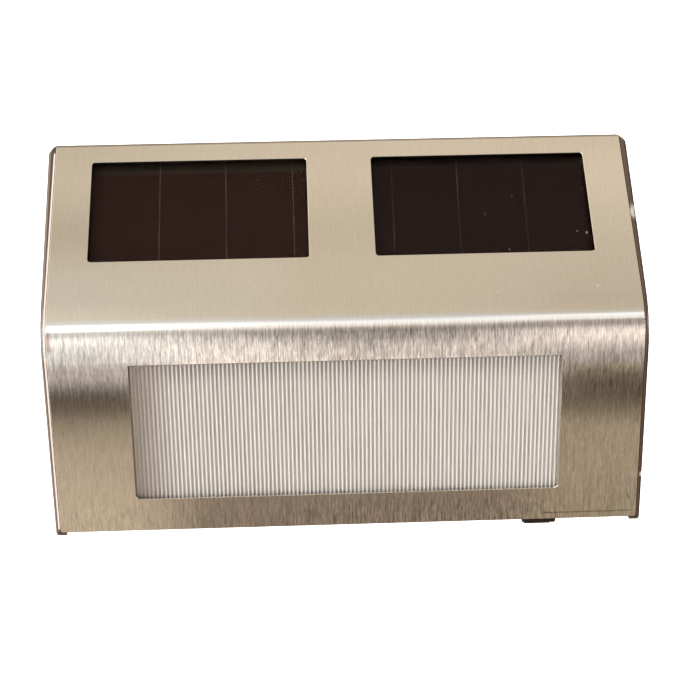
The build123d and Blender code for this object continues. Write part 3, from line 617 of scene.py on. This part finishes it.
# ------------------------------------------------------------------ steel cover
def build_cover():
    lo, hi = (k * COVER_W / 2 + COVER_DX - WINDOW_DX for k in (-1, 1))
    x0, x1, s0, s1 = PANEL_WIN
    pv0, pv1 = T0 - s1, T0 - s0
    lw, d0, d1 = LENS_WIN
    lv0, lv1 = ARC_L + d0 - T0, ARC_L + d1 - T0
    rp, rc = 0.8, 0.5
    left, right, lens = (-x1, -x0, pv0, pv1), (x0, x1, pv0, pv1), (-lw, lw, lv0, lv1)
    xs = {lo, lo + rc, hi - rc, hi, -lw, -lw + 0.35, -lw + 1.0, lw, lw - 0.35, lw - 1.0, 0.0}
    for a, b, _, _ in (left, right):
        xs |= {a, a + rp, b - rp, b}
    vs = {V_TOP, V_TOP + rc, pv0, pv0 + rp, pv1 - rp, pv1, 0.0, lv0, lv0 + 0.35, lv1 - 1.0, lv1, V_END - rc, V_END}
    n_arc = 36
    vs |= {ARC_L * k / n_arc for k in range(n_arc + 1)}
    xs, vs = sorted(xs), sorted(vs)
    # keep extra grid lines from splitting a corner's cell: drop near duplicates
    clean = [xs[0]]
    for a in xs[1:]:
        if a - clean[-1] > 1e-6:
            clean.append(a)
    xs = clean
    clean = [vs[0]]
    for a in vs[1:]:
        if a - clean[-1] > 1e-6:
            clean.append(a)
    vs = clean
    corners = (hole_corners(left, (rp,) * 4) + hole_corners(right, (rp,) * 4)
               + hole_corners(lens, (0.35, 0.35, 1.0, 1.0)) + outer_corners(lo, hi, V_TOP, V_END, rc))
    pts, faces = lattice_split(xs, vs, [left, right, lens], corners)
    place = lambda x, v, o: profile(x + WINDOW_DX, v, o)
    return sheet_piece("steel_cover", pts, faces, SHEET, 0.09, place, down, [STEEL])


def lattice_split(xs, vs, holes, corners):
    """Quads on a grid, without the cells in the holes (x0, x1, v0, v1). Each rounded corner is a fan
    that takes the place of all cells under it."""
    pts, index, faces = [], {}, []

    def vid(x, v):
        key = (round(x, 5), round(v, 5))
        if key not in index:
            index[key] = len(pts)
            pts.append((x, v))
        return index[key]

    def inside(c, mx, mv):
        return c[0] < mx < c[1] and c[2] < mv < c[3]

    for c in corners:
        apex, ring = c[4]
        x0, x1, v0, v1 = c[:4]
        # border points of the cell's straight sides that touch the material beside it
        gx = [x for x in xs if x0 + 1e-6 < x < x1 - 1e-6]
        gv = [v for v in vs if v0 + 1e-6 < v < v1 - 1e-6]
        first, last = ring[0], ring[-1]

        def between(a, b):
            """Grid points on the straight line a-b, in order from a."""
            out = []
            if abs(a[1] - b[1]) < 1e-6:
                out = [(x, a[1]) for x in gx if min(a[0], b[0]) < x < max(a[0], b[0])]
                out.sort(key=lambda p: abs(p[0] - a[0]))
            else:
                out = [(a[0], v) for v in gv if min(a[1], b[1]) < v < max(a[1], b[1])]
                out.sort(key=lambda p: abs(p[1] - a[1]))
            return out

        if abs(apex[0] - first[0]) < 1e-6 or abs(apex[1] - first[1]) < 1e-6:
            side1 = between(apex, first)
            side2 = between(apex, last)
        # hole corner: the apex is the sharp corner and both sides border other cells
        poly = [apex] + side1 + ring + side2[::-1]
        if side1 or side2:
            faces.append([vid(*p) for p in poly])
        else:
            for a, b in zip(ring, ring[1:]):
                faces.append([vid(*apex), vid(*a), vid(*b)])
    for i in range(len(xs) - 1):
        for j in range(len(vs) - 1):
            x0, x1, v0, v1 = xs[i], xs[i + 1], vs[j], vs[j + 1]
            mx, mv = (x0 + x1) / 2, (v0 + v1) / 2
            if any(inside(c, mx, mv) for c in corners):
                continue
            if any(h[0] < mx < h[1] and h[2] < mv < h[3] for h in holes):
                continue
            faces.append([vid(x0, v0), vid(x1, v0), vid(x1, v1), vid(x0, v1)])
    return pts, faces


cover = build_cover()
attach(cover, "root")
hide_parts("front_cover")


# ------------------------------------------------------------------ ribbed lens
def build_lens():
    w, d0, d1 = LENS
    rw, rd0, rd1 = LENS_WIN[0] + 0.7, LENS_WIN[1] - 0.55, LENS_WIN[2] + 0.6
    n = int(2 * rw / RIB_PITCH)
    first = -(n - 1) / 2 * RIB_PITCH
    half = -first + RIB_PITCH / 2
    front_o, valley_o, back_o = 1.2, 1.5, 3.0
    # one period across: (x offset, o, nx, no)
    prof = []
    rr = ((RIB_W / 2) ** 2 + RIB_H ** 2) / (2 * RIB_H)
    amax = atan2(RIB_W / 2, rr - RIB_H)
    steps = 8
    line = []
    for k in range(n):
        c = first + k * RIB_PITCH
        line.append((c - RIB_PITCH / 2, valley_o, 0.0))
        for i in range(steps + 1):
            a = -amax + 2 * amax * i / steps
            line.append((c + rr * sin(a), valley_o - (rr * cos(a) - (rr - RIB_H)), a))
    line.append((half, valley_o, 0.0))
    verts, faces = [], []

    def at(x, d, o):
        verts.append(Vector((x, FRONT_Y + o, FOLD_Z - d)) * MM)
        return len(verts) - 1

    ds = [rd0, rd1]
    rows = [[at(x, d, o) for x, o, a in line] for d in ds]
    for i in range(len(line) - 1):
        faces.append([rows[0][i], rows[1][i], rows[1][i + 1], rows[0][i + 1]])
    # ends of the ribbed field rise to the frame around it
    top = [at(x, rd0, front_o) for x, o, a in line]
    low = [at(x, rd1, front_o) for x, o, a in line]
    for i in range(len(line) - 1):
        faces.append([top[i], rows[0][i], rows[0][i + 1], top[i + 1]])
        faces.append([rows[1][i], low[i], low[i + 1], rows[1][i + 1]])
    lt, lb_ = at(-half, rd0, front_o), at(-half, rd1, front_o)
    rt, rb = at(half, rd0, front_o), at(half, rd1, front_o)
    faces.append([lt, lb_, rows[1][0], rows[0][0]])
    faces.append([rows[0][-1], rows[1][-1], rb, rt])
    # flat frame
    o4 = [at(-w, d0, front_o), at(w, d0, front_o), at(w, d1, front_o), at(-w, d1, front_o)]
    faces.append([o4[0], top[0], top[-1], o4[1]])
    faces.append([low[0], o4[3], o4[2], low[-1]])
    faces.append([o4[0], o4[3], low[0], top[0]])
    faces.append([top[-1], low[-1], o4[2], o4[1]])
    b4 = [at(-w, d0, back_o), at(w, d0, back_o), at(w, d1, back_o), at(-w, d1, back_o)]
    for i in range(4):
        j = (i + 1) % 4
        faces.append([o4[i], o4[j], b4[j], b4[i]])
    faces.append([b4[0], b4[1], b4[2], b4[3]])
    ob = make_object("ribbed_lens", verts, faces, mats=[LENSMAT])
    me = ob.data
    import bmesh
    bm = bmesh.new()
    bm.from_mesh(me)
    bmesh.ops.remove_doubles(bm, verts=bm.verts, dist=1e-7)
    bmesh.ops.recalc_face_normals(bm, faces=bm.faces)
    for e in bm.edges:
        if len(e.link_faces) == 2 and e.calc_face_angle() > radians(32):
            e.smooth = False
    bm.to_mesh(me)
    bm.free()
    return ob


lens = build_lens()
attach(lens, "root")
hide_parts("lens")


# ------------------------------------------------------------------ solar cells
def build_cells(side):
    """Film behind the glass: dark strips with fine scribed gaps between them."""
    x0, x1, s0, s1 = 6.3, 61.9, 17.7, 48.3
    base0, top0 = 2.33, 2.30
    verts, faces, fm = [], [], []

    turn = 0.022 if side > 0 else -0.006

    def slab(a, b, c, d, o0, o1, k):
        n = len(verts)
        for o in (o0, o1):
            for x, s in ((a, c), (b, c), (b, d), (a, d)):
                if x0 + 1 < abs(x) < x1 - 1:
                    x += turn * (s - 33.0)
                verts.append(Vector((x, FRONT_Y + (s + o) * Q, FOLD_Z + (s - o) * Q)) * MM)
        q = [(0, 1, 2, 3), (7, 6, 5, 4), (0, 4, 5, 1), (1, 5, 6, 2), (2, 6, 7, 3), (3, 7, 4, 0)]
        for f in q:
            faces.append([n + i for i in f])
            fm.append(k)

    # scribe lines at their places on each module
    lines = [12.52, 28.53, 44.82] if side > 0 else [-44.08, -28.0, -11.7]
    a, b = (x0, x1) if side > 0 else (-x1, -x0)
    slab(a, b, s0, s1, base0, 2.6, 1)
    gap = 0.11
    cuts = [a] + [c for l in lines for c in (l - gap, l + gap)] + [b]
    for c0, c1 in zip(cuts[::2], cuts[1::2]):
        slab(c0, c1, s0 + 0.4, 44.6, top0, base0, 0)
        # the top band of each strip takes the lighter copy of the film: painted light
        slab(c0, c1, 44.6, s1 - 0.4, top0, base0, 2)
    ob = make_object("solar_cells_" + ("right" if side > 0 else "left"), verts, faces,
                     mats=[CELLS, CELLGAP, CELL_TOP_LIT], face_mat=fm)
    for p in ob.data.polygons:
        p.use_smooth = False
    import bmesh
    bm = bmesh.new()
    bm.from_mesh(ob.data)
    bmesh.ops.recalc_face_normals(bm, faces=bm.faces)
    bm.to_mesh(ob.data)
    bm.free()
    return ob


for side, label in ((-1, "left"), (1, "right")):
    ob = build_cells(side)
    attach(ob, "root")
    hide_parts("panel_cells_" + label)

# ------------------------------------------------------------------ stage
FLOOR_Z = -0.80
bpy.ops.mesh.primitive_plane_add(size=60.0, location=(0, 0, FLOOR_Z))
floor = bpy.context.object
floor.name = "floor"
fm_, fnt, fb = new_material("pale_floor")
fg = G(fnt)
fb.inputs["Base Color"].default_value = (0.9, 0.9, 0.9, 1)
fb.inputs["Roughness"].default_value = 0.9
fb.inputs["Emission Color"].default_value = (1, 1, 1, 1)
fb.inputs["Emission Strength"].default_value = 0.75
assign(floor, fm_)
floor.visible_glossy = False
floor.visible_transmission = False


# ------------------------------------------------------------------ light
world = bpy.data.worlds.new("studio")
scene.world = world
world.use_nodes = True
wnt = world.node_tree
wnt.nodes.clear()
wg = G(wnt)
wo = wnt.nodes.new("ShaderNodeOutputWorld")
bgn = wnt.nodes.new("ShaderNodeBackground")
WINDOW_LIGHT = 4.0
wnt.links.new(bgn.outputs[0], wo.inputs[0])
wx, wy, wz = wg.split(wg.coords("Generated"))
elev = wg.math("ARCTAN2", wz, wg.math("MULTIPLY", wy, -1.0))
elev = wg.math("MULTIPLY", elev, 180 / pi)

# tints of the room: warm table, plain wall, pinkish shade, pale and yellowish ceiling
TABLE, TABLE_R, WALL_, PINK = (1, 0.84, 0.67), (1, 0.82, 0.63), (1, 1.01, 1.06), (1, 0.94, 0.93)
SHADE, CEIL_L, CEIL_R, SKY = (1, 0.91, 0.90), (1, 0.94, 0.85), (1, 0.885, 0.75), (1, 1.03, 1.12)


def env(g, v, lo, hi, stops):
    """A ramp of brightness over a coordinate; stops are (place, brightness, tint)."""
    return g.ramp(g.maprange(v, lo, hi),
                  [((e - lo) / (hi - lo), tuple(k * c for c in tint)) for e, k, tint in stops])


def across(cols):
    """Far left, left, middle and right of the room, seen from the light."""
    a = wg.mix(wg.maprange(wx, -0.135, -0.065, 0.0, 1.0, True), cols[0], cols[1])
    a = wg.mix(wg.maprange(wx, -0.045, 0.010, 0.0, 1.0, True), a, cols[2])
    return wg.mix(wg.maprange(wx, 0.125, 0.190, 0.0, 1.0, True), a, cols[3])


# wall, with a bright strip of window high up; one ramp is too coarse, so the strip has its own
low = across([
    env(wg, elev, -60, 22, [(-60, 0.75, TABLE), (-26, 0.75, TABLE), (-19, 0.82, WALL_), (-13, 0.86, WALL_),
                            (-6, 0.98, WALL_), (0, 1.08, WALL_), (6, 1.16, WALL_), (11, 1.40, WALL_),
                            (15, 1.60, WALL_), (19, 1.56, WALL_), (22, 1.34, WALL_)]),
    env(wg, elev, -60, 22, [(-60, 0.5, TABLE), (-26, 0.6, TABLE), (-19, 1.60, PINK), (3, 1.60, PINK),
                            (8, 1.44, PINK), (13, 1.18, PINK), (17, 0.84, PINK), (22, 0.62, PINK)]),
    env(wg, elev, -60, 22, [(-60, 0.3, TABLE), (-26, 0.36, TABLE), (-19, 0.94, SHADE), (-8, 0.90, SHADE),
                            (0, 0.74, SHADE), (5, 0.58, SHADE), (10, 0.40, SHADE), (15, 0.36, SHADE),
                            (22, 0.32, SHADE)]),
    env(wg, elev, -60, 22, [(-60, 0.4, TABLE_R), (-26, 0.52, TABLE_R), (-19, 0.62, SHADE), (-13, 0.78, SHADE),
                            (-6, 0.95, SHADE), (0, 1.24, SHADE), (8, 1.46, SHADE), (12, 1.42, SHADE),
                            (15, 1.32, SHADE), (18, 1.12, SHADE), (22, 0.72, SHADE)])])
strip = across([
    env(wg, elev, 22, 50, [(22, 1.34, WALL_), (25, 1.04, WALL_), (27.5, 1.02, WALL_), (30.0, 1.10, WALL_),
                           (31.4, 2.2, SKY), (40.4, 2.2, SKY), (41.6, 1.15, SKY), (44.5, 1.07, WALL_), (50, 0.97, CEIL_L)]),
    env(wg, elev, 22, 50, [(22, 0.64, PINK), (25, 0.66, PINK), (27.5, 0.82, PINK), (30.0, 1.18, PINK),
                           (33.4, 1.42, WALL_), (35, 1.8, SKY), (38.0, 1.8, SKY), (39.5, 1.28, SKY),
                           (43, 1.0, WALL_), (50, 0.91, CEIL_L)]),
    env(wg, elev, 22, 50, [(22, 0.32, SHADE), (25, 0.48, SHADE), (27.5, 0.70, SHADE), (29.8, 1.18, SHADE),
                           (33.4, 1.38, WALL_), (36, 1.45, SKY), (38, 1.15, SKY), (39.5, 0.95, SKY),
                           (42, 0.88, WALL_), (46, 0.85, CEIL_L), (50, 0.86, CEIL_R)]),
    env(wg, elev, 22, 50, [(22, 0.72, SHADE), (25, 0.54, SHADE), (29.2, 0.52, SHADE), (30.8, 0.70, SHADE),
                           (32.0, 1.15, WALL_), (35, 1.35, SKY), (39.5, 1.6, SKY), (40.8, 0.95, SKY),
                           (43.5, 0.82, CEIL_L), (50, 0.77, CEIL_R)])])
ceiling = across([
    env(wg, elev, 50, 90, [(50, 0.99, CEIL_L), (62, 0.94, CEIL_L), (73, 0.89, CEIL_L), (74.8, 0.84, CEIL_L), (75.6, 0.74, CEIL_R),
                           (76.6, 0.68, CEIL_R), (77.4, 0.80, CEIL_R), (78.4, 0.86, CEIL_R), (80, 0.80, CEIL_R), (90, 0.78, CEIL_R)]),
    env(wg, elev, 50, 90, [(50, 0.91, CEIL_L), (62, 0.88, CEIL_L), (73, 0.89, CEIL_L), (77, 0.91, CEIL_R), (90, 0.88, CEIL_R)]),
    env(wg, elev, 50, 90, [(50, 0.86, CEIL_R), (73, 0.85, CEIL_R), (74.8, 0.86, CEIL_R), (75.6, 0.82, CEIL_R), (76.5, 0.81, CEIL_R),
                           (77.4, 0.92, CEIL_R), (78.3, 0.97, CEIL_R), (80, 0.94, CEIL_R), (90, 0.92, CEIL_R)]),
    env(wg, elev, 50, 90, [(50, 0.77, CEIL_R), (73, 0.74, CEIL_R), (75.6, 0.84, CEIL_R), (76.6, 0.90, CEIL_R), (77.7, 1.0, CEIL_R),
                           (78.6, 1.03, CEIL_R), (80, 0.92, CEIL_R), (90, 0.92, CEIL_R)])])
# the wall is a little paler right of the middle
pale = wg.math("MULTIPLY", wg.maprange(wx, 0.060, 0.110, 0.0, 1.0, True), wg.maprange(elev, 8.0, -2.0, 0.0, 0.13, True))
pale = wg.math("MULTIPLY", pale, wg.maprange(wx, 0.145, 0.185, 1.0, 0.0, True))
low = wg.mix(1.0, low, wg.mix(pale, (1, 1, 1), (2, 2, 2)), "MULTIPLY")
room = wg.mix(wg.math("GREATER_THAN", elev, 22.0), low, strip)
room = wg.mix(wg.math("GREATER_THAN", elev, 50.0), room, ceiling)
# darker straight below, behind the light and far to the right; a large bright window at the far left
dim = wg.math("MULTIPLY", wg.maprange(elev, -52, -38, 0.05, 1.0, True), wg.maprange(wx, 0.35, 0.7, 1.0, 0.35, True))
dim = wg.math("MULTIPLY", dim, wg.maprange(wy, 0.05, 0.6, 1.0, 0.35, True))
pane = wg.math("MULTIPLY", wg.maprange(wx, -0.42, -0.52, 0.0, 1.0, True), wg.maprange(wy, 0.45, 0.25, 0.0, 1.0, True))
dim = wg.math("MULTIPLY_ADD", pane, WINDOW_LIGHT, dim)
wg.put(bgn.inputs["Color"], room)
wg.put(bgn.inputs["Strength"], dim)

# The table in front of the light, close enough to fill the reflection in the upright front:
# a dark edge on top, pale wood below. It only shows as a reflection.
card_mesh = bpy.data.meshes.new("table_edge")
cx, cy, ct, cb = 0.22, -0.14, -0.0355, -0.125
card_mesh.from_pydata([(-cx, cy, cb), (cx, cy, cb), (cx, cy, ct), (-cx, cy, ct)], [], [(0, 1, 2, 3)])
card = bpy.data.objects.new("table_edge", card_mesh)
scene.collection.objects.link(card)
cm, cnt, cbs = new_material("table_glow")
cg = G(cnt)
kx, ky, kz = cg.split(cg.coords())
kz = cg.math("MULTIPLY", kz, 1000.0)
left = env(cg, kz, -86, -35, [(-86, 0.75, TABLE), (-77, 0.73, TABLE), (-66, 0.64, TABLE), (-60, 0.54, TABLE),
                              (-55.5, 0.43, TABLE), (-52.5, 0.28, TABLE), (-50, 0.19, TABLE), (-46.5, 0.16, TABLE),
                              (-44.6, 0.22, SHADE), (-43.2, 0.34, SHADE), (-41.8, 0.50, SHADE), (-40.4, 0.63, SHADE),
                              (-38, 0.70, SHADE), (-36.5, 0.78, PINK), (-35, 0.82, WALL_)])
TABLE_M = (1, 0.79, 0.645)
mid = env(cg, kz, -86, -35, [(-86, 0.335, TABLE_M), (-75, 0.36, TABLE_M), (-50, 0.6, TABLE), (-39, 0.98, SHADE), (-35, 1.04, SHADE)])
mid_l = env(cg, kz, -86, -35, [(-86, 0.355, TABLE_M), (-75, 0.38, TABLE_M), (-50, 0.6, TABLE), (-39, 1.35, SHADE), (-35, 1.42, SHADE)])
mid = cg.mix(cg.maprange(kx, -0.026, -0.004, 0.0, 1.0, True), mid_l, mid)
right = env(cg, kz, -86, -35, [(-86, 0.47, TABLE_R), (-77, 0.52, TABLE_R), (-64, 0.51, TABLE_R), (-60.5, 0.50, TABLE_R),
                               (-57, 0.35, TABLE_R), (-53.5, 0.23, TABLE_R), (-50, 0.165, TABLE_R), (-46, 0.165, TABLE),
                               (-43.2, 0.23, TABLE), (-41.8, 0.31, TABLE), (-40.4, 0.43, TABLE), (-38.5, 0.54, SHADE),
                               (-35, 0.66, SHADE)])
glow = cg.mix(cg.maprange(kx, -0.066, -0.040, 0.0, 1.0, True), left, mid)
glow = cg.mix(cg.maprange(kx, 0.050, 0.074, 0.0, 1.0, True), glow, right)
cbs.inputs["Base Color"].default_value = (0, 0, 0, 1)
cbs.inputs["Specular IOR Level"].default_value = 0.0
cg.put(cbs.inputs["Emission Color"], glow)
cbs.inputs["Emission Strength"].default_value = 1.0
assign(card, cm)
card.visible_camera = False
card.visible_diffuse = False
card.visible_transmission = False
card.visible_volume_scatter = False
card.visible_shadow = False


def area(name, loc, target, size, power, colour=(1, 1, 1), shape="RECTANGLE", size_y=None):
    l = bpy.data.lights.new(name, "AREA")
    l.shape = shape
    l.size = size
    if size_y:
        l.size_y = size_y
    l.energy = power
    l.color = colour
    ob = bpy.data.objects.new(name, l)
    scene.collection.objects.link(ob)
    ob.location = loc
    d = Vector(target) - Vector(loc)
    ob.rotation_mode = "QUATERNION"
    ob.rotation_quaternion = d.to_track_quat("-Z", "Y")
    return ob


side = area("lamp_right", (1.2, -0.25, 0.10), (0.07, -0.03, 0), 0.30, 3.5, (1.0, 0.98, 0.95), size_y=0.30)
fill = area("fill_top", (0.3, -0.3, 1.6), (0, 0, FLOOR_Z), 1.6, 14.0, (1.0, 1.0, 1.0), size_y=1.6)
fill.visible_glossy = False

# ------------------------------------------------------------------ camera
cam = bpy.data.cameras.new("camera")
cam.lens = 74.1176
cam.sensor_width = 36.0
cam.clip_start, cam.clip_end = 0.01, 50
camo = bpy.data.objects.new("camera", cam)
scene.collection.objects.link(camo)
rx, ry, rz = radians(18.2695), radians(1.8894), radians(0.8440)
Rx = Matrix(((1, 0, 0), (0, cos(rx), -sin(rx)), (0, sin(rx), cos(rx))))
Ry = Matrix(((cos(ry), 0, sin(ry)), (0, 1, 0), (-sin(ry), 0, cos(ry))))
Rz = Matrix(((cos(rz), -sin(rz), 0), (sin(rz), cos(rz), 0), (0, 0, 1)))
R = Rz @ Rx @ Ry
t = Vector((1.33173, 2.93445, -323.37596))
c = -(R.transposed() @ t)
to_row = Matrix(((1, 0, 0), (0, 0, 1), (0, -1, 0)))
place = Vector((c.x + WINDOW_DX, -c.z + FRONT_Y, c.y + FOLD_Z)) * MM
camo.matrix_world = Matrix.Translation(place) @ (R @ to_row).transposed().to_4x4()
scene.camera = camo

scene.view_settings.view_transform = "Standard"
scene.view_settings.look = "None"
scene.view_settings.exposure = 0.0
scene.view_settings.gamma = 1.0
